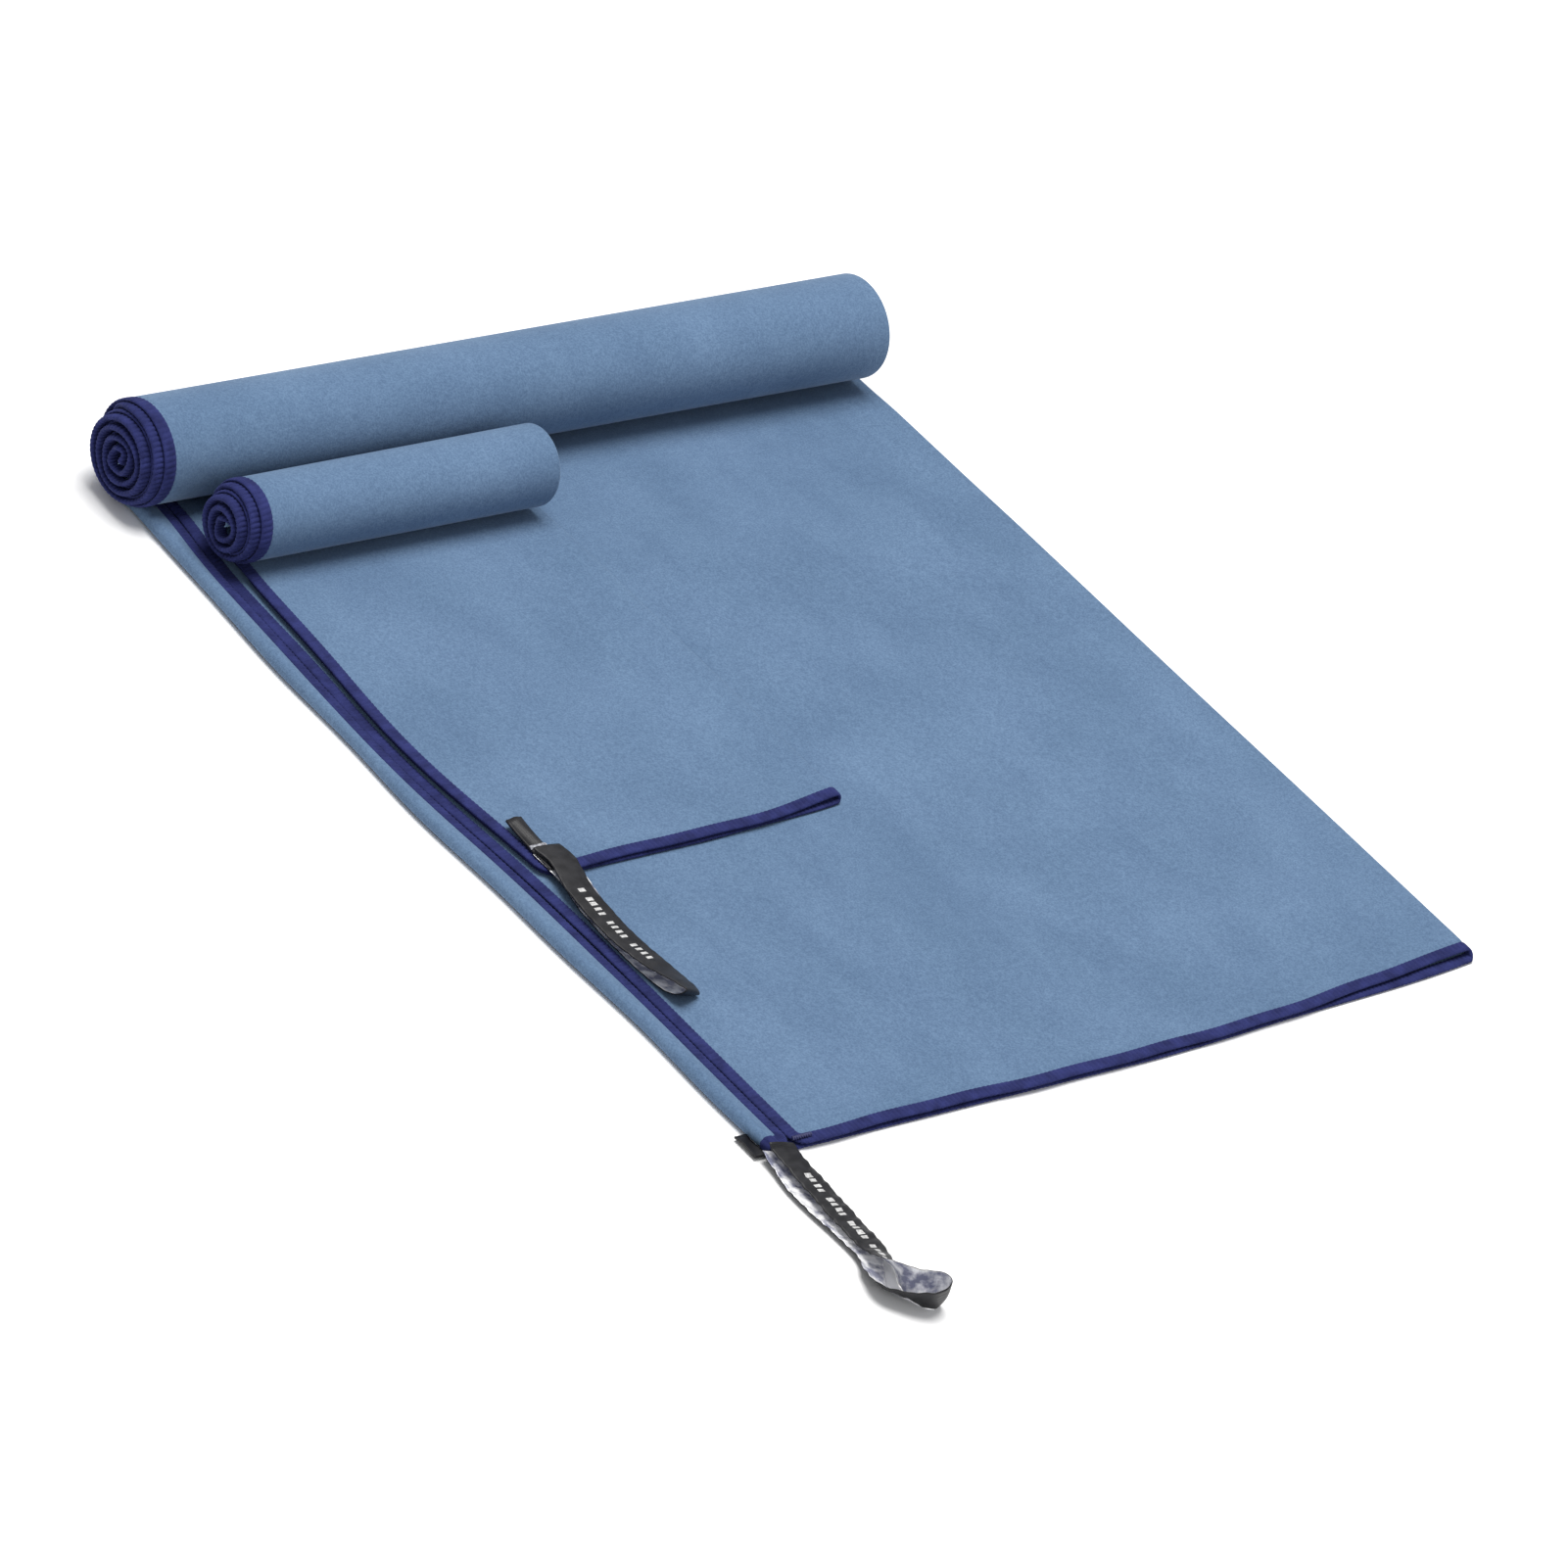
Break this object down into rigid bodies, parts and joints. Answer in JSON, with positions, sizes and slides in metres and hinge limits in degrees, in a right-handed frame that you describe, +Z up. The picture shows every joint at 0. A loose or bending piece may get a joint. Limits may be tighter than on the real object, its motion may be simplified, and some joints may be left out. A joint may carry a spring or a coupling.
{
  "type": "quick-dry towel set",
  "caption": "Large and small microfibre towels, each folded lengthwise and part rolled, with overlocked edges and ribbon hang loops.",
  "frame": {"origin": "middle of the large towel's flat run, on the surface that it rests on", "axes": "+X across the strip from the open hems to the fold, +Y along the strip towards the roll, +Z up"},
  "size_m": [0.4113, 0.6065, 0.0488],
  "materials": {
    "microfibre": "napped matt",
    "overlock_thread": "matt thread",
    "ribbon": "satin",
    "tack_thread": "thread"
  },
  "bodies": {
    "large_towel": {"large_cloth_flat": "microfibre", "large_cloth_roll": "microfibre", "large_hem_upper_side_flat": "overlock_thread", "large_hem_lower_side_flat": "overlock_thread", "large_hem_upper_side_roll": "overlock_thread", "large_hem_lower_side_roll": "overlock_thread", "large_hem_near_end": "overlock_thread", "large_hem_far_end": "overlock_thread", "large_loop_tail": "ribbon", "large_bar_tack": "tack_thread"},
    "large_loop": {"large_loop_ribbon": "ribbon"},
    "small_towel": {"small_cloth_flat": "microfibre", "small_cloth_roll": "microfibre", "small_hem_upper_side_flat": "overlock_thread", "small_hem_lower_side_flat": "overlock_thread", "small_hem_upper_side_roll": "overlock_thread", "small_hem_lower_side_roll": "overlock_thread", "small_hem_near_end": "overlock_thread", "small_hem_far_end": "overlock_thread", "small_loop_tail": "ribbon", "small_bar_tack": "tack_thread"},
    "small_loop": {"small_loop_ribbon": "ribbon"}
  },
  "joints": [
    {"name": "large_loop_swing", "type": "hinge", "parent": "large_towel", "child": "large_loop", "pos_m": [-0.2035, -0.2333, 0.0095], "axis": [-1, 0, 0], "range_deg": [0, 150]},
    {"name": "small_towel_lift", "type": "slide", "parent": "large_towel", "child": "small_towel", "axis": [0, 0, 1], "range_m": [0, 0.25]},
    {"name": "small_loop_swing", "type": "hinge", "parent": "small_towel", "child": "small_loop", "pos_m": [-0.186, -0.0478, 0.01045], "axis": [-1, 0, 0], "range_deg": [0, 150]}
  ]
}
